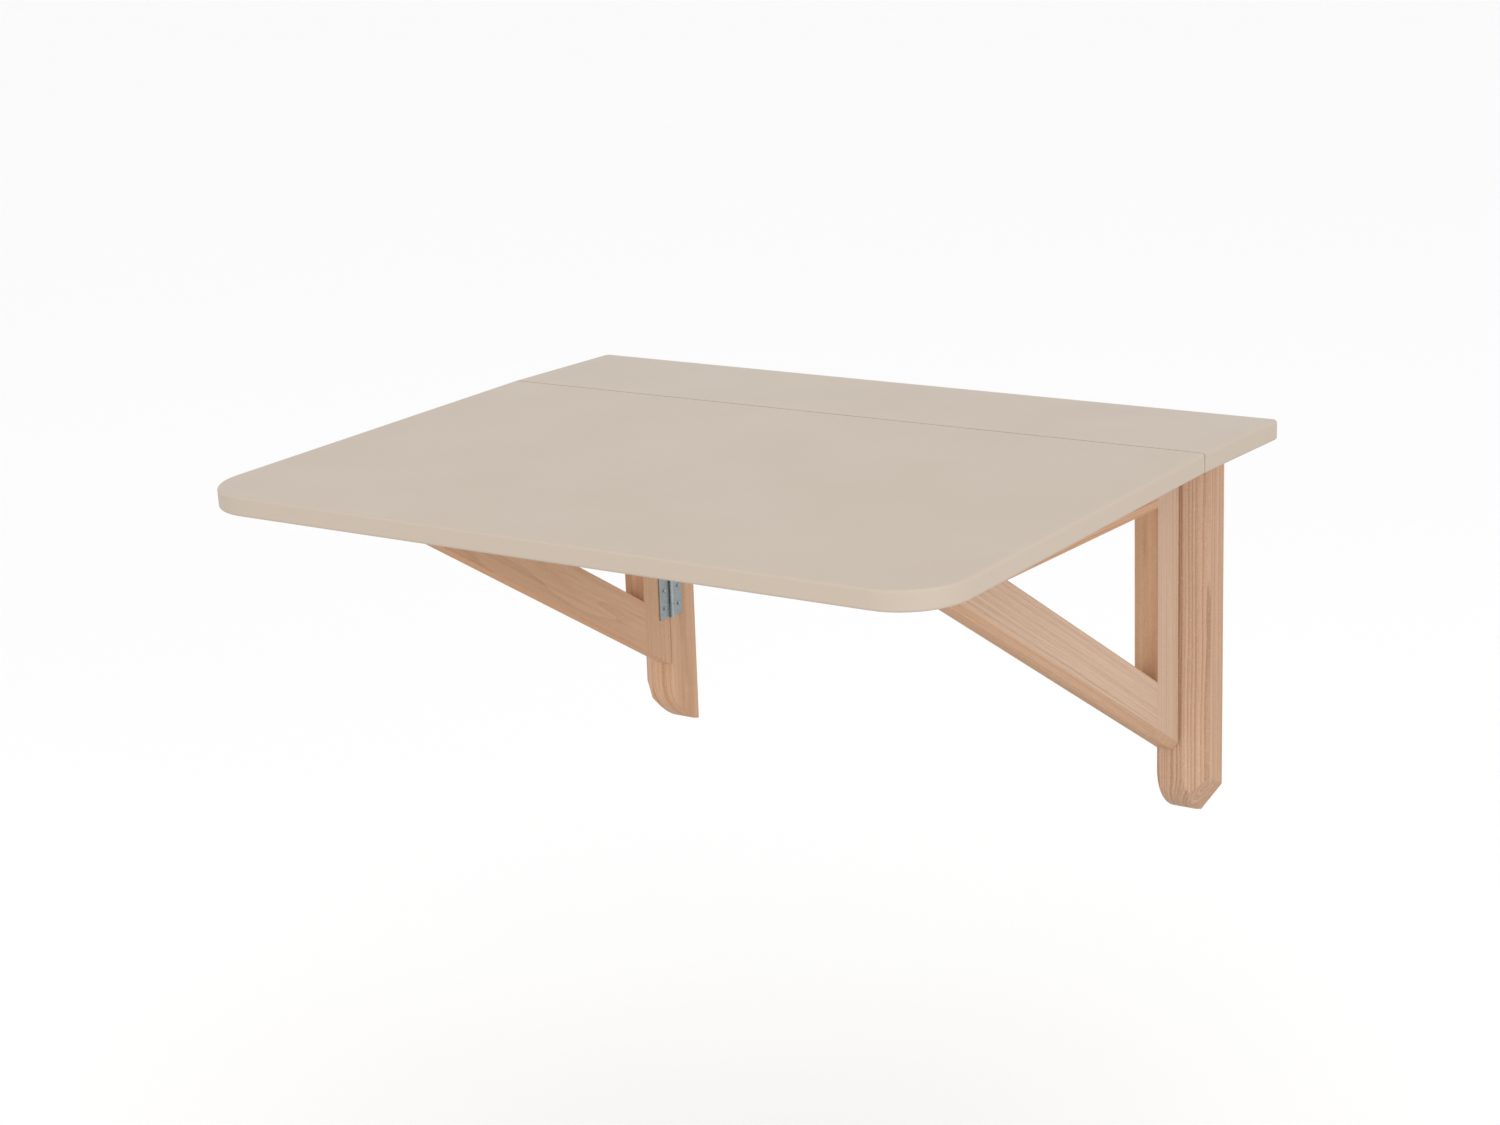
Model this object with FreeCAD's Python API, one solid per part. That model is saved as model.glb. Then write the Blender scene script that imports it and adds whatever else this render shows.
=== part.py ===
"""Wall-mounted drop leaf table: a fixed back strip on two wall uprights, a leaf
hinged to it along a seam, and two triangular wooden brackets that swing out to
hold the leaf. Millimetres. X runs along the wall, the wall is the plane Y = 0
with the room on the -Y side, and Z is up. The origin is the middle of the back
strip's rear edge, half way through the board's thickness."""
import FreeCAD, Part
import math
import os

V = FreeCAD.Vector

# ---- table top ----
top_width = 750.0           # both boards, along the wall
strip_depth = 150.0         # fixed back strip, from the wall
leaf_depth = 449.0          # drop leaf, from the seam to its front edge
board = 18.0                # thickness of both boards
edge_round = 2.5            # round-over along the boards' free edges
front_corner_radius = 55.0  # the leaf's two front corners
back_corner_radius = 6.0    # the strip's two rear corners
seam_gap = 0.8              # between the boards when the leaf is level

# ---- wall uprights ----
upright_spacing = 552.0     # between the two inner faces
upright_width = 46.0        # along X
upright_depth = 43.0        # from the wall
upright_length = 362.0      # below the strip
nose_height = 48.0          # height of the rounded lower front
nose_sweep = 77.0           # how far the nose turns before it meets the wall, degrees
chamfer_across = 20.0       # broad chamfer on the outer front edge, along X
chamfer_back = 16.0         # the same chamfer, along Y
foot_bevel_across = 20.7    # flat bevel under the outer face, along X at the foot
foot_bevel_wall = 28.8      # how far that bevel climbs the outer face at the wall
foot_bevel_front = 42.6     # and how far it climbs at the chamfer
upright_round = 2.0         # small round on the upright's upright edges
chamfer_round = 1.5         # small round where the chamfer meets the faces beside it

# ---- swing brackets ----
bracket_thickness = 23.0    # post, rail and brace, along X
bracket_member = 43.0       # width of post and rail
brace_width = 46.0          # width of the diagonal brace
bracket_drop = 9.6          # from the strip's underside down to the rail's top
bracket_reach = 450.0       # from the wall to the rail's front end
bracket_height = 282.9      # rail's top to the lowest point of the post
brace_setback = 5.0         # from the rail's front end back to the brace's lower corner
post_gap = 0.5              # between upright and post when the bracket is out
arris = 2.0                 # round on the bracket's long edges
bracket_bevel = 7.0         # flat bevel on the bracket's outer lower edge
rest_clearance = 0.2        # between the rail's tip and the leaf that rests on it

# ---- butt hinges, all of one pattern ----
hinge_length = 60.0
hinge_leaf = 19.0           # from the pin's axis to the plate's free edge
plate = 1.3
barrel_radius = 2.6
barrel_standoff = 0.3       # barrel clear of the wood
end_knuckle = 14.0
knuckle_gap = 0.3
pin_radius = 1.25
pin_running_clearance = 0.05
pin_head = 0.6
hinge_screw_pitch = 19.0
hinge_screw_offset = 12.0   # from the pin's axis
hinge_inset = 82.5          # from each end of the post to the hinge's middle
seam_hinge_places = (-200.0, 0.0, 200.0)  # along X under the seam

# ---- screws, dowels and corner brackets ----
screw_head_radius = 3.3
screw_head_depth = 1.9
screw_radius = 1.5
screw_length = 14.0
screw_point = 2.5
screw_tip_radius = 0.2
screw_sink = 0.45           # head's face below the plate's
recess_width = 0.8
recess_length = 3.4
recess_depth = 1.0
dowel_radius = 3.0
dowel_half = 14.0           # how far a bracket dowel goes into each member
strip_dowel_radius = 4.0
strip_dowel_up = 12.0
strip_dowel_down = 20.0
corner_leg = 30.0
corner_width = 16.0
corner_plate = 2.0
corner_screws = (11.0, 23.0)              # from the corner along each leg
corner_from_wall = 16.0
wall_hole_radius = 2.75
wall_counterbore_radius = 6.0
wall_counterbore_depth = 15.0
wall_hole_inset = (31.0, 26.5)            # below the strip, and above the post's foot

# ---- places worked out from the sizes above ----
underside = -board / 2
inner_face = upright_spacing / 2
outer_face = inner_face + upright_width
chamfer_edge = outer_face - chamfer_across
wall_hole_x = (inner_face + chamfer_edge) / 2
axis_offset = barrel_radius + barrel_standoff
post_back = -upright_depth - post_gap
post_front = post_back - bracket_member
bracket_axis_y = -upright_depth - post_gap / 2
rail_top = underside - bracket_drop
rail_bottom = rail_top - bracket_member
post_foot = rail_top - bracket_height
slope = (post_foot - rail_bottom) / (brace_setback - bracket_reach - post_back)
brace_rise = brace_width * math.hypot(1, slope)
hinge_centres = (rail_top - hinge_inset, post_foot + hinge_inset)
wall_hole_heights = (underside - wall_hole_inset[0], post_foot + wall_hole_inset[1])
seam_axis_y = -strip_depth - seam_gap / 2
seam_axis_z = underside - axis_offset
bracket_mid_x = inner_face + bracket_thickness / 2


def leaf_droop():
    """Degrees by which the leaf hangs below level when it rests on the rails' tips."""
    tip_out = bracket_reach - arris + seam_axis_y
    tip_up = rail_top - seam_axis_z
    stand = axis_offset - rest_clearance
    reach = math.hypot(tip_out, tip_up)
    return math.degrees(math.asin(stand / reach) - math.atan2(tip_up, tip_out))


def low_edge(y):
    """Height of the line that the brace's and the post's lower ends follow."""
    return post_foot + slope * (post_back - y)


def prism_yz(points, x0, x1):
    """Solid with the outline `points` (y, z), between two X planes."""
    wire = Part.makePolygon([V(x0, y, z) for y, z in points + points[:1]])
    return Part.Face(wire).extrude(V(x1 - x0, 0, 0))


def round_edges(shape, radius, wanted):
    """Fillet the edges for which wanted(edge) is true."""
    edges = [e for e in shape.Edges if wanted(e)]
    return shape.makeFillet(radius, edges)


def along(edge, direction):
    """True for a straight edge that runs along the given direction."""
    if len(edge.Vertexes) != 2 or edge.Curve.TypeId != "Part::GeomLine":
        return False
    d = edge.Vertexes[1].Point - edge.Vertexes[0].Point
    return d.cross(direction).Length < 1e-6 * d.Length


def mirrored(shape):
    """The same piece on the other side of the table."""
    return shape.mirror(V(0, 0, 0), V(1, 0, 0))


def cylinder(radius, start, end):
    axis = end - start
    return Part.makeCylinder(radius, axis.Length, start, axis)


def top_board(y_back, y_front, corner_at_front, radius):
    """One lacquered board with two rounded corners; its seam edge stays square."""
    half = top_width / 2
    body = Part.makeBox(top_width, y_back - y_front, board, V(-half, y_front, underside))
    corner_y = y_front if corner_at_front else y_back
    seam_y = y_back if corner_at_front else y_front
    body = round_edges(body, radius, lambda e: along(e, V(0, 0, 1))
                       and abs(e.Vertexes[0].Point.y - corner_y) < 1e-6)

    def free_edge(e):
        box = e.BoundBox
        flat = box.ZLength < 1e-6
        at_seam = box.YLength < 1e-6 and abs(box.YMin - seam_y) < 1e-6
        return flat and not at_seam
    return round_edges(body, edge_round, free_edge)


def upright_outline():
    """Upright's outline in its inner face: square top, and a nose that turns from the
    front face to the wall. The nose is the cubic that stands for an arc of nose_sweep,
    stretched to fit the upright's depth and the nose's height."""
    x, foot = inner_face, underside - upright_length
    bend = foot + nose_height
    sweep = math.radians(nose_sweep)
    pull = 4 / 3 * math.tan(sweep / 4)
    along_y = upright_depth / (1 - math.cos(sweep))
    along_z = nose_height / math.sin(sweep)
    nose = Part.BezierCurve()
    nose.setPoles([V(x, -upright_depth, bend), V(x, -upright_depth, bend - pull * along_z),
                   V(x, -pull * along_y * math.sin(sweep), foot + pull * along_z * math.cos(sweep)),
                   V(x, 0, foot)])
    return Part.Wire([
        Part.makeLine(V(x, 0, foot), V(x, 0, underside)),
        Part.makeLine(V(x, 0, underside), V(x, -upright_depth, underside)),
        Part.makeLine(V(x, -upright_depth, underside), V(x, -upright_depth, bend)),
        nose.toShape()])


def planed(body, a, b, c, beyond):
    """The body with everything past the plane through a, b and c removed; beyond is a
    point on the side that goes."""
    normal = (b - a).cross(c - a)
    if normal.dot(beyond - a) < 0:
        normal = -normal
    reach = 2 * upright_length
    waste = Part.makeBox(2 * reach, 2 * reach, reach, V(-reach, -reach, 0))
    waste.Placement = FreeCAD.Placement(a, FreeCAD.Rotation(V(0, 0, 1), normal))
    return body.cut(waste)


def upright():
    """Right-hand wall upright: square block with a rounded nose, a broad chamfer down its
    outer front edge, and a bevel under its outer face."""
    foot = underside - upright_length
    body = Part.Face(upright_outline()).extrude(V(upright_width, 0, 0))
    shoulder = -upright_depth + chamfer_back
    outside = V(outer_face + upright_width, -upright_depth, foot)
    body = planed(body, V(chamfer_edge, -upright_depth, 0), V(outer_face, shoulder, 0),
                  V(outer_face, shoulder, foot), outside)
    body = planed(body, V(outer_face, shoulder, foot + foot_bevel_front),
                  V(outer_face, 0, foot + foot_bevel_wall),
                  V(outer_face - foot_bevel_across, 0, foot), outside)
    body = round_edges(body, upright_round, lambda e: along(e, V(0, 0, 1))
                       and abs(e.Vertexes[0].Point.x - inner_face) < 1e-6)
    return round_edges(body, chamfer_round, lambda e: along(e, V(0, 0, 1))
                       and e.BoundBox.YMax < -1e-3 and e.BoundBox.XMin > inner_face + upright_round + 1e-3)


def bracket_members():
    """Right-hand post, rail and brace, face to face, with their long edges eased and
    one flat bevel along the outer lower edge of brace and post."""
    x0, x1 = inner_face, inner_face + bracket_thickness
    post = prism_yz([(post_back, low_edge(post_back)), (post_back, rail_top),
                     (post_front, rail_top), (post_front, low_edge(post_front))], x0, x1)
    rail = prism_yz([(post_front, rail_bottom), (post_front, rail_top),
                     (-bracket_reach, rail_top), (-bracket_reach, rail_bottom)], x0, x1)
    brace_tip = post_back - (rail_bottom - post_foot) / slope
    brace_top = post_back - (rail_bottom - post_foot - brace_rise) / slope
    brace = prism_yz([(post_front, low_edge(post_front)),
                      (post_front, low_edge(post_front) + brace_rise),
                      (brace_top, rail_bottom), (brace_tip, rail_bottom)], x0, x1)
    slant = V(0, -1, slope)
    post = round_edges(post, arris, lambda e: along(e, slant)
                       or e.BoundBox.YMin > post_back - 1e-6)
    rail = round_edges(rail, arris, lambda e: e.BoundBox.ZMin > rail_top - 1e-6
                       and e.BoundBox.YMax - e.BoundBox.YMin > 1e-6
                       or e.BoundBox.YMax < -bracket_reach + 1e-6)
    brace = round_edges(brace, arris, lambda e: along(e, slant))
    up = bracket_bevel * math.hypot(1, slope)
    start, run = 1.0, -bracket_reach - 1.0
    corner = V(x1, start, low_edge(start))
    wedge = Part.makePolygon([corner - V(bracket_bevel, 0, 0), corner + V(0, 0, up),
                              corner + V(bracket_bevel, 0, up), corner - V(0, 0, up),
                              corner - V(bracket_bevel, 0, 0)])
    bevel = Part.Face(wedge).extrude(V(0, run - start, low_edge(run) - low_edge(start)))
    return post.cut(bevel), rail, brace.cut(bevel)


def bracket_dowels():
    """Two dowels in each of the right-hand bracket's three glued joints, each pair at
    set shares of the joint's length."""
    x = bracket_mid_x
    rail_shares, post_shares, tip_shares = (0.28, 0.72), (0.35, 0.80), (0.24, 0.60)
    heights = [rail_top - share * bracket_member for share in rail_shares]
    heights += [low_edge(post_front) + share * brace_rise for share in post_shares]
    pins = [cylinder(dowel_radius, V(x, post_front - dowel_half, z),
                     V(x, post_front + dowel_half, z)) for z in heights]
    brace_top = post_back - (rail_bottom - post_foot - brace_rise) / slope
    for share in tip_shares:
        y = brace_top - share * brace_rise / slope
        pins.append(cylinder(dowel_radius, V(x, y, rail_bottom - dowel_half),
                             V(x, y, rail_bottom + dowel_half)))
    return pins


def strip_dowels():
    """Two dowels that locate the back strip on the right-hand upright, set cornerwise."""
    front_share, back_share = 0.74, 0.33
    places = ((wall_hole_x, -front_share * upright_depth),
              (outer_face - chamfer_across / 2, -back_share * upright_depth))
    return [cylinder(strip_dowel_radius, V(x, y, underside - strip_dowel_down),
                     V(x, y, underside + strip_dowel_up)) for x, y in places]


def screw(surface):
    """Countersunk cross-head screw along local +X, its head flush at x = surface."""
    neck = surface - screw_head_depth
    head = Part.makeCone(screw_radius, screw_head_radius, screw_head_depth,
                         V(neck, 0, 0), V(1, 0, 0))
    end = surface - screw_length
    shank = cylinder(screw_radius, V(end + screw_point, 0, 0), V(neck, 0, 0))
    point = Part.makeCone(screw_tip_radius, screw_radius, screw_point, V(end, 0, 0), V(1, 0, 0))
    return head.fuse([shank, point]).removeSplitter()


def with_cross(solid, surface, at):
    """Sink a screw's face below the plate and cut its cross; at is its local centre."""
    face = surface - screw_sink
    wide = 2 * screw_head_radius + 1.0
    cuts = [(wide, wide, 0.0), (recess_width, recess_length, recess_depth),
            (recess_length, recess_width, recess_depth)]
    for a, b, deep in cuts:
        corner = V(face - deep, at.y - a / 2, at.z - b / 2)
        solid = solid.cut(Part.makeBox(deep + screw_sink + 1.0, a, b, corner))
    return solid


def butt_hinge():
    """Local frame: wood face at x = 0, pin along z, fixed plate at +y, moving at -y."""
    half = hinge_length / 2
    inner = half - end_knuckle
    bottom, above = V(axis_offset, 0, -half), V(axis_offset, 0, half)

    def knuckle(z0, z1, hole):
        tube = cylinder(barrel_radius, V(axis_offset, 0, z0), V(axis_offset, 0, z1))
        return tube.cut(cylinder(hole, V(axis_offset, 0, z0 - 1), V(axis_offset, 0, z1 + 1)))

    def sheet(side, z0, z1, start):
        y0 = start if side > 0 else -hinge_leaf
        return Part.makeBox(plate, hinge_leaf - start, z1 - z0, V(0, y0, z0))

    clear = barrel_radius + barrel_standoff
    fixed = sheet(1, -half, half, clear)
    fixed = fixed.fuse([sheet(1, -inner + knuckle_gap, inner - knuckle_gap, 0.0),
                        knuckle(-inner + knuckle_gap, inner - knuckle_gap, pin_radius)])
    moving = sheet(-1, -half, half, clear)
    run = pin_radius + pin_running_clearance
    for z0, z1 in ((-half, -inner), (inner, half)):
        moving = moving.fuse([sheet(-1, z0, z1, 0.0), knuckle(z0, z1, run)])
    bore = cylinder(run, bottom - V(0, 0, 1), above + V(0, 0, 1))
    moving = moving.cut(bore).removeSplitter()
    fixed = fixed.cut(cylinder(pin_radius, bottom - V(0, 0, 1), above + V(0, 0, 1)))
    pin = cylinder(pin_radius, bottom - V(0, 0, pin_head), above + V(0, 0, pin_head))
    result = {"fixed": fixed.removeSplitter(), "moving": moving, "pin": pin}
    for name, y in (("fixed", hinge_screw_offset), ("moving", -hinge_screw_offset)):
        blanks = []
        for step in (-1, 0, 1):
            blank = screw(plate)
            blank.translate(V(0, y, step * hinge_screw_pitch))
            blanks.append(blank)
        result[name] = result[name].cut(Part.makeCompound(blanks))
        result[name + "_holes"] = blanks
        result[name + "_screws"] = [
            with_cross(b, plate, V(0, y, s * hinge_screw_pitch)) for b, s in zip(blanks, (-1, 0, 1))]
    return result


def placed(hinge, rotation, offset):
    """A copy of a hinge's pieces, turned and moved into place."""
    place = FreeCAD.Placement(offset, rotation)

    def move(item):
        if isinstance(item, list):
            return [move(one) for one in item]
        one = item.copy()
        one.Placement = place.multiply(one.Placement)
        return one
    return {name: move(item) for name, item in hinge.items()}


def corner_bracket():
    """Right-hand steel angle in the corner of upright and strip, with its screws."""
    y0 = -corner_from_wall - corner_width / 2
    x = inner_face
    upright_leg = Part.makeBox(corner_plate, corner_width, corner_leg,
                               V(x - corner_plate, y0, underside - corner_leg))
    strip_leg = Part.makeBox(corner_leg, corner_width, corner_plate,
                             V(x - corner_leg, y0, underside - corner_plate))
    body = upright_leg.fuse(strip_leg).removeSplitter()
    body = round_edges(body, corner_plate * 0.9, lambda e: along(e, V(0, 1, 0))
                       and abs(e.BoundBox.XMin - (x - corner_plate)) < 1e-6
                       and abs(e.BoundBox.ZMin - (underside - corner_plate)) < 1e-6)
    toward_room = FreeCAD.Rotation(V(0, 0, 1), 180)
    downward = FreeCAD.Rotation(V(0, 1, 0), 90)
    blanks, screws = [], []
    for reach in corner_screws:
        spots = ((toward_room, V(x, -corner_from_wall, underside - reach)),
                 (downward, V(x - reach, -corner_from_wall, underside)))
        for turn, spot in spots:
            blank = screw(corner_plate)
            headed = with_cross(blank, corner_plate, V(0, 0, 0))
            for one, into in ((blank, blanks), (headed, screws)):
                one = one.copy()
                one.Placement = FreeCAD.Placement(spot, turn).multiply(one.Placement)
                into.append(one)
    return body.cut(Part.makeCompound(blanks)), blanks, screws


def drill_for_wall(body):
    """Two counterbored wall-screw holes, behind the post when the bracket is out."""
    for z in wall_hole_heights:
        body = body.cut(cylinder(wall_hole_radius, V(wall_hole_x, 1, z),
                                 V(wall_hole_x, -upright_depth - 1, z)))
        body = body.cut(cylinder(wall_counterbore_radius,
                                 V(wall_hole_x, -upright_depth + wall_counterbore_depth, z),
                                 V(wall_hole_x, -upright_depth - 1, z)))
    return body


def bracket_hinges():
    """The left side's two hinges; the left inner face looks along +X."""
    corner = V(-inner_face, bracket_axis_y, 0)
    return [placed(butt_hinge(), FreeCAD.Rotation(), corner + V(0, 0, z)) for z in hinge_centres]


def cut_all(body, tools):
    return body.cut(Part.makeCompound(tools))


def side_parts(side):
    """Every piece of one side; the left side is the right one mirrored, but its hinges
    are modelled in place and mirrored for the right."""
    flip = mirrored if side == "left" else (lambda shape: shape)
    hinge_flip = (lambda shape: shape) if side == "left" else mirrored
    body, corner_blanks, corner_heads = corner_bracket()
    dowels = strip_dowels()
    joint_dowels = bracket_dowels()
    post, rail, brace = bracket_members()
    column = drill_for_wall(upright())
    parts = {}
    fixed_holes, moving_holes = [], []
    fixed_screws, moving_screws = [], []
    for level, hinge in zip(("upper", "lower"), bracket_hinges()):
        name = f"hinge_{side}_{level}"
        parts[f"{name}_fixed_plate"] = hinge_flip(hinge["fixed"])
        parts[f"{name}_moving_plate"] = hinge_flip(hinge["moving"])
        parts[f"{name}_pin"] = hinge_flip(hinge["pin"])
        fixed_holes += [hinge_flip(s) for s in hinge["fixed_holes"]]
        moving_holes += [hinge_flip(s) for s in hinge["moving_holes"]]
        fixed_screws += [hinge_flip(s) for s in hinge["fixed_screws"]]
        moving_screws += [hinge_flip(s) for s in hinge["moving_screws"]]
    corner_tools = [flip(s) for s in corner_blanks]
    dowel_tools = [flip(s) for s in dowels]
    joint_tools = [flip(s) for s in joint_dowels]
    parts[f"upright_{side}"] = cut_all(flip(column), fixed_holes + corner_tools + dowel_tools)
    parts[f"bracket_post_{side}"] = cut_all(flip(post), moving_holes + joint_tools)
    parts[f"bracket_rail_{side}"] = cut_all(flip(rail), joint_tools)
    parts[f"bracket_brace_{side}"] = cut_all(flip(brace), joint_tools)
    parts[f"bracket_dowels_{side}"] = Part.makeCompound(joint_tools)
    parts[f"strip_dowels_{side}"] = Part.makeCompound(dowel_tools)
    parts[f"corner_bracket_{side}"] = flip(body)
    parts[f"corner_screws_{side}"] = Part.makeCompound([flip(s) for s in corner_heads])
    parts[f"upright_hinge_screws_{side}"] = Part.makeCompound(fixed_screws)
    parts[f"post_hinge_screws_{side}"] = Part.makeCompound(moving_screws)
    return parts, corner_tools + dowel_tools


def drooped(shape):
    """A piece of the leaf, modelled level, turned down to rest on the brackets."""
    turned = shape.copy()
    turned.rotate(V(0, seam_axis_y, seam_axis_z), V(1, 0, 0), leaf_droop())
    return turned


def table():
    """Every node's name and shape."""
    parts = {}
    strip_tools = []
    for side in ("left", "right"):
        pieces, tools = side_parts(side)
        parts.update(pieces)
        strip_tools += tools
    leaf_tools, strip_screws, leaf_screws = [], [], []
    turn = FreeCAD.Rotation(V(0, 1, 0), 90)
    for number, x in enumerate(seam_hinge_places, 1):
        hinge = placed(butt_hinge(), turn, V(x, seam_axis_y, underside))
        parts[f"seam_hinge_{number}_strip_plate"] = hinge["fixed"]
        parts[f"seam_hinge_{number}_leaf_plate"] = drooped(hinge["moving"])
        parts[f"seam_hinge_{number}_pin"] = hinge["pin"]
        strip_tools += hinge["fixed_holes"]
        leaf_tools += hinge["moving_holes"]
        strip_screws += hinge["fixed_screws"]
        leaf_screws += [drooped(s) for s in hinge["moving_screws"]]
    strip = top_board(0.0, -strip_depth, False, back_corner_radius)
    leaf_back = -strip_depth - seam_gap
    leaf = top_board(leaf_back, leaf_back - leaf_depth, True, front_corner_radius)
    parts["back_strip"] = cut_all(strip, strip_tools)
    parts["drop_leaf"] = drooped(cut_all(leaf, leaf_tools))
    parts["seam_screws_strip"] = Part.makeCompound(strip_screws)
    parts["seam_screws_leaf"] = Part.makeCompound(leaf_screws)
    return parts


os.makedirs("parts", exist_ok=True)
for node, shape in table().items():
    if not shape.isValid():
        raise ValueError(f"{node} is not a valid shape")
    shape.exportStep(f"parts/{node}.step")
    box = shape.BoundBox
    print(f"{node:32s} solids {len(shape.Solids):2d}  x {box.XMin:7.1f} {box.XMax:7.1f}"
          f"  y {box.YMin:7.1f} {box.YMax:7.1f}  z {box.ZMin:7.1f} {box.ZMax:7.1f}")
print(f"leaf droop {leaf_droop():.3f} degrees")
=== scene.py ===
"""Looks of a wall-mounted drop leaf table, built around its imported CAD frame.
Metres. X runs along the wall, the wall is Y = 0 with the room on -Y, Z is up."""
import math

import bpy
from mathutils import Matrix, Vector


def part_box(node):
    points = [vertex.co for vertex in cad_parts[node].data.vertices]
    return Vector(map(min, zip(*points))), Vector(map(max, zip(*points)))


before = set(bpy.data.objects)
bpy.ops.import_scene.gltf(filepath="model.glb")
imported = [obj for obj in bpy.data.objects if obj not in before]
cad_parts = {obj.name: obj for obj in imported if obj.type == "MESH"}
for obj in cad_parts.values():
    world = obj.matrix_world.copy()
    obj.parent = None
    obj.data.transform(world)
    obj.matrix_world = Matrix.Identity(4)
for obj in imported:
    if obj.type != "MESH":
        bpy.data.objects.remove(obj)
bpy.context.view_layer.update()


# ---------------------------------------------------------------- viewpoint
# The camera stands in the room to the right of the table, a little above its
# top, and leans by about two degrees. Its lens is a short telephoto.
eye = Vector((1.4102, -2.3085, 0.5566))
azimuth, elevation, lean = math.radians(34.97), math.radians(14.91), math.radians(-2.08)
sensor_width_mm, lens_mm = 36.0, 68.64

forward = Vector((-math.sin(azimuth) * math.cos(elevation),
                  math.cos(azimuth) * math.cos(elevation), -math.sin(elevation)))
level = Vector((math.cos(azimuth), math.sin(azimuth), 0.0))
above = level.cross(forward)
rightward = math.cos(lean) * level + math.sin(lean) * above
upward = math.cos(lean) * above - math.sin(lean) * level
lens = bpy.data.cameras.new("viewpoint")
lens.sensor_width, lens.lens = sensor_width_mm, lens_mm
viewpoint = bpy.data.objects.new("viewpoint", lens)
viewpoint.matrix_world = (Matrix.Translation(eye)
                          @ Matrix((rightward, upward, -forward)).transposed().to_4x4())
bpy.context.scene.collection.objects.link(viewpoint)
bpy.context.scene.camera = viewpoint


# ---------------------------------------------------------------- studio
# A floor below the table, white light from all round, and two large soft lamps,
# the stronger on the right. The floor looks white but throws back less light
# than white would, so undersides fall into soft shade.
floor_drop, floor_half = 0.75, 60.0
floor_seen, floor_thrown = (0.96, 0.96, 0.96, 1.0), (0.68, 0.67, 0.66, 1.0)
floor_roughness = 0.9
sky_strength = 1.0
lamp_aim = Vector((0.0, -0.25, -0.1))


def add(tree, kind, sockets=None, **settings):
    """A new shader node. settings are its properties; sockets maps each input to a value
    or to the output that feeds it."""
    node = tree.nodes.new(kind)
    for name, value in settings.items():
        setattr(node, name, value)
    for name, value in (sockets or {}).items():
        if isinstance(value, bpy.types.NodeSocket):
            tree.links.new(value, node.inputs[name])
        else:
            node.inputs[name].default_value = value
    return node


def finish_named(name):
    """A new node material and its Principled shader."""
    material = bpy.data.materials.new(name)
    material.use_nodes = True
    return material, material.node_tree.nodes["Principled BSDF"]


floor_mesh = bpy.data.meshes.new("studio_floor")
floor_mesh.from_pydata([(x * floor_half, y * floor_half, -floor_drop)
                        for x, y in ((-1, -1), (1, -1), (1, 1), (-1, 1))], [], [(0, 1, 2, 3)])
studio_floor = bpy.data.objects.new("studio_floor", floor_mesh)
bpy.context.scene.collection.objects.link(studio_floor)
floor_paint, floor_shader = finish_named("studio_floor")
floor_tree = floor_paint.node_tree
seen = add(floor_tree, "ShaderNodeLightPath").outputs["Is Camera Ray"]
floor_shade = add(floor_tree, "ShaderNodeMix", {"Factor": seen, "A": floor_thrown,
                                                "B": floor_seen}, data_type="RGBA")
floor_tree.links.new(floor_shade.outputs["Result"], floor_shader.inputs["Base Color"])
floor_shader.inputs["Roughness"].default_value = floor_roughness
floor_mesh.materials.append(floor_paint)

sky = bpy.data.worlds.new("studio")
sky.use_nodes = True
sky.node_tree.nodes["Background"].inputs["Color"].default_value = (1.0, 1.0, 1.0, 1.0)
sky.node_tree.nodes["Background"].inputs["Strength"].default_value = sky_strength
bpy.context.scene.world = sky
bpy.context.scene.view_settings.view_transform = "Standard"


def lamp(name, place, side, watts):
    """A square soft lamp, turned to face the middle of the table."""
    light = bpy.data.lights.new(name, "AREA")
    light.size, light.energy = side, watts
    holder = bpy.data.objects.new(name, light)
    bpy.context.scene.collection.objects.link(holder)
    facing = (lamp_aim - Vector(place)).to_track_quat("-Z", "Y")
    holder.matrix_world = Matrix.Translation(place) @ facing.to_matrix().to_4x4()


lamp("right_lamp", (3.2, -1.6, 0.4), 2.0, 34.0)
lamp("front_lamp", (-0.6, -3.4, 0.3), 2.4, 20.0)


def dress(node_names, material):
    """Give CAD nodes one finish in their only slot."""
    for name in node_names:
        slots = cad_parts[name].data.materials
        slots.clear()
        slots.append(material)


def nodes_like(*parts):
    """Names of the CAD nodes that hold every one of these words, in order."""
    return sorted(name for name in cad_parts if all(part in name for part in parts))


# ---------------------------------------------------------------- top boards
# The fixed back strip and the drop leaf are 18 mm board, sprayed all round in a
# satin greige lacquer. The lacquer has a very fine orange peel, and a broad,
# faint unevenness in its sheen and shade.
greige, greige_deep = (0.522, 0.440, 0.362, 1.0), (0.510, 0.428, 0.350, 1.0)
peel_scale, peel_height, peel_strength = 900.0, 0.00003, 0.35
cloud_scale = 7.0
lacquer_smooth, lacquer_rough, lacquer_specular = 0.36, 0.50, 0.28


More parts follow.
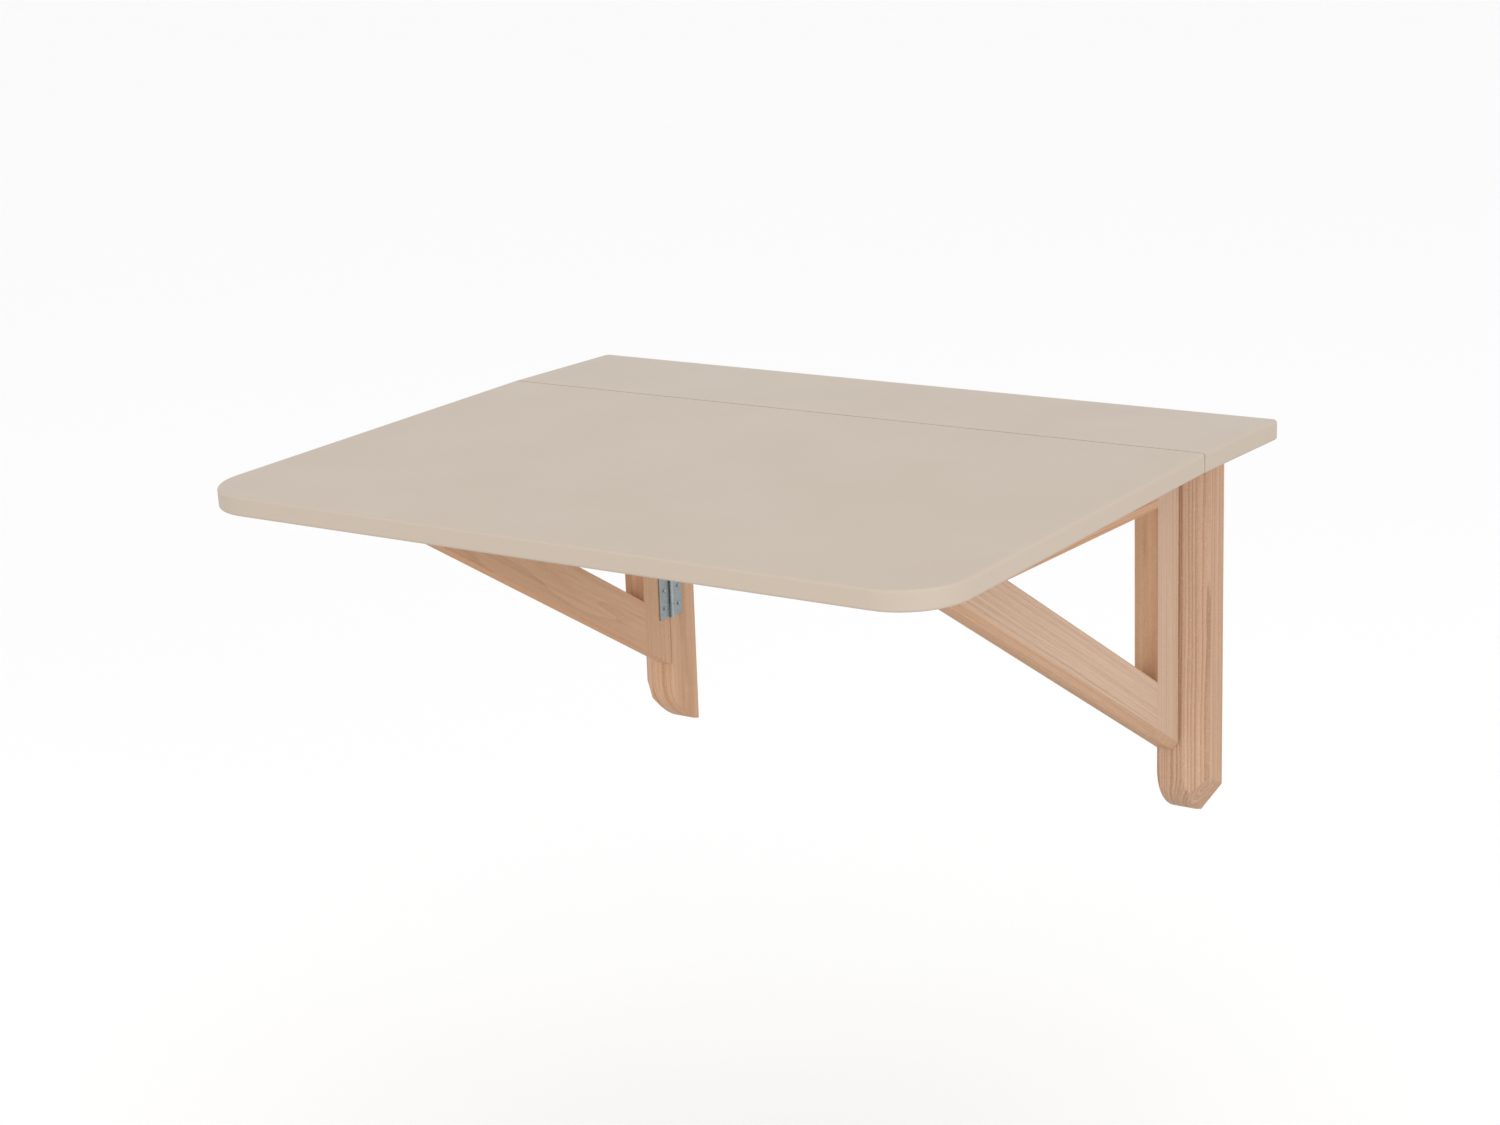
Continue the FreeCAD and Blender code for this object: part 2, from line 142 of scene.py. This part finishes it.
def sprayed_lacquer():
    """Lacquer shade = mix of two greiges by broad noise; height = fine noise."""
    material, shader = finish_named("greige_lacquer")
    tree = material.node_tree
    place = add(tree, "ShaderNodeTexCoord").outputs["Object"]
    cloud = add(tree, "ShaderNodeTexNoise", {"Vector": place, "Scale": cloud_scale,
                                             "Detail": 3.0, "Roughness": 0.55})
    peel = add(tree, "ShaderNodeTexNoise", {"Vector": place, "Scale": peel_scale, "Detail": 1.5})
    shade = add(tree, "ShaderNodeMix", {"Factor": cloud.outputs["Fac"], "A": greige,
                                        "B": greige_deep}, data_type="RGBA")
    sheen = add(tree, "ShaderNodeMapRange", {"Value": cloud.outputs["Fac"],
                                             "To Min": lacquer_smooth,
                                             "To Max": lacquer_rough})
    relief = add(tree, "ShaderNodeBump", {"Height": peel.outputs["Fac"],
                                          "Strength": peel_strength, "Distance": peel_height})
    tree.links.new(shade.outputs["Result"], shader.inputs["Base Color"])
    tree.links.new(sheen.outputs["Result"], shader.inputs["Roughness"])
    tree.links.new(relief.outputs["Normal"], shader.inputs["Normal"])
    shader.inputs["Specular IOR Level"].default_value = lacquer_specular
    return material


dress(["back_strip", "drop_leaf"], sprayed_lacquer())


# ---------------------------------------------------------------- wall uprights
# Two solid wood uprights screw to the wall. Each is sawn from one straight
# length, with the grain running up it, so its growth rings show as upright
# lines on the sides and as arcs where the rounded foot cuts across them.
ruddy = ((0.630, 0.390, 0.247, 1.0), (0.436, 0.227, 0.118, 1.0))
# The pale palette of the right post and brace and the tawny one of the right upright are partly painted
# light, paler copies of the wood standing in for the light the right lamp throws on the right bracket,
# and partly a real difference of tone between boards.
pale = ((0.586, 0.407, 0.296, 1.0), (0.389, 0.227, 0.139, 1.0))
tawny = ((0.570, 0.365, 0.245, 1.0), (0.385, 0.212, 0.120, 1.0))
fleck_pale = (0.72, 0.57, 0.45, 1.0)
# painted_shade_tint is painted shade: the warm dark tint laid over wood faces that turn away from X.
painted_shade_tint = (1.0, 0.87, 0.72, 1.0)
millimetres = 1000.0
drift_scale, drift_draw = 0.035, 0.12
year_scale, year_swing = 0.16, 2.6
ring_seam = 0.10
ring_steps = ((0.10, 0.0), (0.45, 0.22), (0.78, 0.75), (0.90, 1.0))
fibre_scale, fibre_draw, fibre_share = 1.5, 0.035, 0.75
streak_scale, streak_draw, streak_share = 0.30, 0.012, 0.9
speck_scale, speck_draw, speck_low, speck_high, speck_most = 1.7, 0.35, 0.52, 0.75, 0.38
ground_dark = 0.14
wood_smooth, wood_rough, wood_specular = 0.48, 0.68, 0.3
fibre_relief, ring_relief = 0.8, 0.6
wood_relief_height, wood_relief_strength = 0.00025, 0.5


def growth_rings():
    """Node group of solid wood in millimetres, with the grain along Z and the pith on the
    axis. Ring phase = wavering distance from the axis / spacing; each ring darkens slowly
    outwards and ends sharply. Fibres and flecks are noise drawn out along the grain.
    Darkness = rings + fibres + streaks + ground."""
    group = bpy.data.node_groups.new("growth_rings", "ShaderNodeTree")
    for name, kind in (("Vector", "NodeSocketVector"), ("Spacing", "NodeSocketFloat"),
                       ("Waver", "NodeSocketFloat"), ("Contrast", "NodeSocketFloat"),
                       ("Early wood", "NodeSocketColor"), ("Late wood", "NodeSocketColor")):
        group.interface.new_socket(name, in_out="INPUT", socket_type=kind)
    for name, kind in (("Color", "NodeSocketColor"), ("Roughness", "NodeSocketFloat"),
                       ("Height", "NodeSocketFloat")):
        group.interface.new_socket(name, in_out="OUTPUT", socket_type=kind)
    given = add(group, "NodeGroupInput").outputs

    def maths(operation, *values):
        return add(group, "ShaderNodeMath", dict(enumerate(values)), operation=operation).outputs[0]

    def noise(draw, scale, detail, roughness=0.5):
        drawn = add(group, "ShaderNodeVectorMath", {0: given["Vector"], 1: (1.0, 1.0, draw)},
                    operation="MULTIPLY").outputs["Vector"]
        return add(group, "ShaderNodeTexNoise", {"Vector": drawn, "Scale": scale, "Detail": detail,
                                                 "Roughness": roughness})

    drift = noise(drift_draw, drift_scale, 2.0).outputs["Color"]
    centred = add(group, "ShaderNodeVectorMath", {0: drift, 1: (0.5, 0.5, 0.5)},
                  operation="SUBTRACT").outputs["Vector"]
    moved = add(group, "ShaderNodeVectorMath", {0: centred, "Scale": given["Waver"]},
                operation="SCALE").outputs["Vector"]
    place = add(group, "ShaderNodeVectorMath", {0: given["Vector"], 1: moved},
                operation="ADD").outputs["Vector"]
    across = add(group, "ShaderNodeVectorMath", {0: place, 1: (1.0, 1.0, 0.0)},
                 operation="MULTIPLY").outputs["Vector"]
    radius = add(group, "ShaderNodeVectorMath", {0: across}, operation="LENGTH").outputs["Value"]
    years = add(group, "ShaderNodeTexNoise", {"W": radius, "Scale": year_scale, "Detail": 2.0},
                noise_dimensions="1D").outputs["Fac"]
    phase = maths("ADD", maths("DIVIDE", radius, given["Spacing"]), maths("MULTIPLY", years, year_swing))
    ring = add(group, "ShaderNodeValToRGB", {"Fac": maths("FRACT", phase)})
    ramp = ring.color_ramp.elements
    for end in (0, 1):
        ramp[end].position, ramp[end].color = end, (ring_seam, ring_seam, ring_seam, 1.0)
    for position, darkness in ring_steps:
        ramp.new(position).color = (darkness, darkness, darkness, 1.0)
    fibres = noise(fibre_draw, fibre_scale, 4.0, 0.62).outputs["Fac"]
    streaks = noise(streak_draw, streak_scale, 3.0).outputs["Fac"]
    specks = noise(speck_draw, speck_scale, 2.0).outputs["Fac"]
    flecks = add(group, "ShaderNodeMapRange", {"Value": specks, "From Min": speck_low,
                                               "From Max": speck_high,
                                               "To Max": speck_most}).outputs["Result"]
    dark = maths("MULTIPLY", ring.outputs["Color"], given["Contrast"])
    dark = maths("ADD", dark, maths("MULTIPLY", maths("SUBTRACT", fibres, 0.5), fibre_share))
    dark = maths("ADD", dark, maths("MULTIPLY", maths("SUBTRACT", streaks, 0.5), streak_share))
    dark = add(group, "ShaderNodeClamp", {"Value": maths("ADD", dark, ground_dark)}).outputs["Result"]
    wood = add(group, "ShaderNodeMix", {"Factor": dark, "A": given["Early wood"],
                                        "B": given["Late wood"]},
               data_type="RGBA").outputs["Result"]
    wood = add(group, "ShaderNodeMix", {"Factor": flecks, "A": wood, "B": fleck_pale},
               data_type="RGBA").outputs["Result"]
    rough = add(group, "ShaderNodeMapRange", {"Value": fibres, "To Min": wood_smooth,
                                              "To Max": wood_rough})
    height = maths("SUBTRACT", maths("MULTIPLY", fibres, fibre_relief),
                   maths("MULTIPLY", dark, ring_relief))
    add(group, "NodeGroupOutput", {"Color": wood, "Roughness": rough.outputs["Result"],
                                   "Height": height})
    return group


rings = growth_rings()


def oiled_wood(name, tone, pith, tilt=0.0, spacing=3.2, waver=7.0, contrast=0.75, painted_shade=0.0):
    """Wood of one member, in the early and late colours of its tone. pith is a point
    (x, y, z) in metres on the middle line of the tree it was sawn from, and tilt turns
    the grain about X, from straight up, in degrees. Painted shade: the colour is
    multiplied towards a warm dark tint, as much as the last argument times how far a
    face turns away from X, so front, back, top and bottom faces are painted darker and
    more orange, standing in for shade under the leaf and light bounced between members."""
    material, shader = finish_named(name)
    tree = material.node_tree
    place = add(tree, "ShaderNodeTexCoord").outputs["Object"]
    turn = Matrix.Rotation(math.radians(tilt), 3, "X")
    start = -(turn @ (Vector(pith) * millimetres))
    along = add(tree, "ShaderNodeMapping", {"Vector": place, "Location": start,
                                            "Rotation": (math.radians(tilt), 0.0, 0.0),
                                            "Scale": (millimetres,) * 3}).outputs["Vector"]
    grain = add(tree, "ShaderNodeGroup", node_tree=rings)
    tree.links.new(along, grain.inputs["Vector"])
    for socket, value in (("Spacing", spacing), ("Waver", waver), ("Contrast", contrast),
                          ("Early wood", tone[0]), ("Late wood", tone[1])):
        grain.inputs[socket].default_value = value
    relief = add(tree, "ShaderNodeBump", {"Height": grain.outputs["Height"],
                                          "Strength": wood_relief_strength,
                                          "Distance": wood_relief_height})
    # Painted shade: faces turned away from X are multiplied towards the warm dark tint, standing in for
    # shade and bounced light.
    normal = add(tree, "ShaderNodeTexCoord").outputs["Normal"]
    sideways = add(tree, "ShaderNodeVectorMath", {0: normal, 1: (0.0, 1.0, 1.0)},
                   operation="MULTIPLY").outputs["Vector"]
    turned = add(tree, "ShaderNodeVectorMath", {0: sideways}, operation="LENGTH").outputs["Value"]
    painted_shade_share = add(tree, "ShaderNodeMath", {0: turned, 1: painted_shade}, operation="MULTIPLY").outputs["Value"]
    wood = add(tree, "ShaderNodeMix", {"Factor": painted_shade_share, "A": grain.outputs["Color"],
                                       "B": painted_shade_tint}, data_type="RGBA", blend_type="MULTIPLY")
    tree.links.new(wood.outputs["Result"], shader.inputs["Base Color"])
    tree.links.new(grain.outputs["Roughness"], shader.inputs["Roughness"])
    tree.links.new(relief.outputs["Normal"], shader.inputs["Normal"])
    shader.inputs["Specular IOR Level"].default_value = wood_specular
    return material


# tawny: partly painted light from the right lamp, partly a real tone of this board.
dress(["upright_right"], oiled_wood("upright_wood_right", tawny, (0.3155, -0.022, 0.0),
                                    spacing=3.0, waver=5.0, contrast=0.9))
dress(["upright_left"], oiled_wood("upright_wood_left", ruddy, (-0.362, -0.018, 0.0),
                                   spacing=4.6, waver=9.0, contrast=0.75))


# ---------------------------------------------------------------- swing brackets
# Each bracket is a post, a rail and a diagonal brace of the same wood, glued
# and dowelled edge to edge. The grain follows each member, so it changes
# direction at the glue lines.
rail_low, rail_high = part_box("bracket_rail_left")
brace_low, brace_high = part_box("bracket_brace_left")
brace_tilt = math.degrees(math.atan2(brace_high.z - brace_low.z, brace_high.y - brace_low.y)) - 90.0
brace_foot_y, brace_foot_z = brace_high.y, brace_low.z

# The last argument of each bracket member sets how much painted shade its faces turned away from X get.
dress(["bracket_post_left"], oiled_wood("post_wood_left", ruddy, (-0.292, 0.006, 0.0),
                                        spacing=3.1, waver=5.0, contrast=0.55, painted_shade=0.4))
# pale: partly painted light from the right lamp, partly a real tone of these boards.
dress(["bracket_post_right"], oiled_wood("post_wood_right", pale, (0.283, -0.002, 0.0),
                                         spacing=2.7, waver=4.0, contrast=0.4, painted_shade=1.0))
dress(["bracket_rail_left"], oiled_wood("rail_wood_left", ruddy,
                                        (-0.300, -0.2, rail_low.z - 0.05), 90.0, painted_shade=1.0))
dress(["bracket_rail_right"], oiled_wood("rail_wood_right", ruddy,
                                         (0.290, -0.2, rail_low.z - 0.06), 90.0, painted_shade=1.0))
dress(["bracket_brace_left"], oiled_wood(
    "brace_wood_left", ruddy, (-0.330, brace_foot_y, brace_foot_z + 0.01), brace_tilt,
    spacing=3.6, waver=16.0, contrast=0.38, painted_shade=1.0))
dress(["bracket_brace_right"], oiled_wood(
    "brace_wood_right", pale, (0.262, brace_foot_y, brace_foot_z - 0.055), brace_tilt,
    spacing=2.9, waver=6.0, contrast=0.4, painted_shade=1.0))


# ---------------------------------------------------------------- dowels
# Fluted beech dowels hold the brackets' glued joints and locate the back strip
# on the uprights. They are buried in the wood.
beech, beech_ray = (0.60, 0.42, 0.28, 1.0), (0.42, 0.26, 0.16, 1.0)
ray_scale, ray_low, ray_high = (900.0, 900.0, 160.0), 0.52, 0.72


def turned_beech():
    """Beech: pale ground with short dark rays, drawn out along the dowel."""
    material, shader = finish_named("turned_beech")
    tree = material.node_tree
    place = add(tree, "ShaderNodeTexCoord").outputs["Object"]
    drawn = add(tree, "ShaderNodeMapping", {"Vector": place, "Scale": ray_scale})
    rays = add(tree, "ShaderNodeTexNoise", {"Vector": drawn.outputs["Vector"], "Scale": 1.0,
                                            "Detail": 2.0})
    dark = add(tree, "ShaderNodeMapRange", {"Value": rays.outputs["Fac"], "From Min": ray_low,
                                            "From Max": ray_high})
    shade = add(tree, "ShaderNodeMix", {"Factor": dark.outputs["Result"], "A": beech,
                                        "B": beech_ray}, data_type="RGBA")
    tree.links.new(shade.outputs["Result"], shader.inputs["Base Color"])
    shader.inputs["Roughness"].default_value = 0.6
    return material


dress(nodes_like("dowels"), turned_beech())


# ---------------------------------------------------------------- hinges and corner brackets
# Butt hinges of 1.3 mm zinc-plated sheet join the brackets to the uprights and
# the leaf to the strip. Steel angles hold the strip down on the uprights. The
# plating is dull blue-grey with a faint cloud and fine rolling lines.
zinc, zinc_dull = (0.47, 0.52, 0.535, 1.0), (0.29, 0.325, 0.335, 1.0)
plating_cloud_scale, rolling_scale = 260.0, (5200.0, 5200.0, 240.0)
line_height, line_strength = 0.00002, 0.4


def plated_steel(name, bright, dull, rough_low, rough_high):
    """Plated steel: shade and roughness follow a cloud of noise; height is fine lines."""
    material, shader = finish_named(name)
    tree = material.node_tree
    place = add(tree, "ShaderNodeTexCoord").outputs["Object"]
    cloud = add(tree, "ShaderNodeTexNoise", {"Vector": place, "Scale": plating_cloud_scale,
                                             "Detail": 4.0, "Roughness": 0.6})
    drawn = add(tree, "ShaderNodeMapping", {"Vector": place, "Scale": rolling_scale})
    lines = add(tree, "ShaderNodeTexNoise", {"Vector": drawn.outputs["Vector"], "Scale": 1.0,
                                             "Detail": 1.0})
    shade = add(tree, "ShaderNodeMix", {"Factor": cloud.outputs["Fac"], "A": bright, "B": dull},
                data_type="RGBA")
    rough = add(tree, "ShaderNodeMapRange", {"Value": cloud.outputs["Fac"], "From Min": 0.3,
                                             "From Max": 0.7, "To Min": rough_low,
                                             "To Max": rough_high})
    relief = add(tree, "ShaderNodeBump", {"Height": lines.outputs["Fac"], "Strength": line_strength,
                                          "Distance": line_height})
    tree.links.new(shade.outputs["Result"], shader.inputs["Base Color"])
    tree.links.new(rough.outputs["Result"], shader.inputs["Roughness"])
    tree.links.new(relief.outputs["Normal"], shader.inputs["Normal"])
    shader.inputs["Metallic"].default_value = 1.0
    return material


dress(nodes_like("hinge", "plate") + nodes_like("corner_bracket"),
      plated_steel("zinc_plating", zinc, zinc_dull, 0.24, 0.38))


# ---------------------------------------------------------------- hinge pins
# A drawn steel wire through each hinge's knuckles, tight in the fixed plate.
wire_bright, wire_dull = (0.52, 0.54, 0.55, 1.0), (0.38, 0.40, 0.41, 1.0)
dress(nodes_like("_pin"), plated_steel("drawn_wire", wire_bright, wire_dull, 0.22, 0.34))


# ---------------------------------------------------------------- screws
# Countersunk cross-head wood screws, three to each hinge plate and two to each
# leg of a corner bracket, a little brighter than the plates they hold.
screw_bright, screw_dull = (0.46, 0.48, 0.48, 1.0), (0.28, 0.30, 0.30, 1.0)
dress(nodes_like("screws"), plated_steel("screw_plating", screw_bright, screw_dull, 0.26, 0.40))
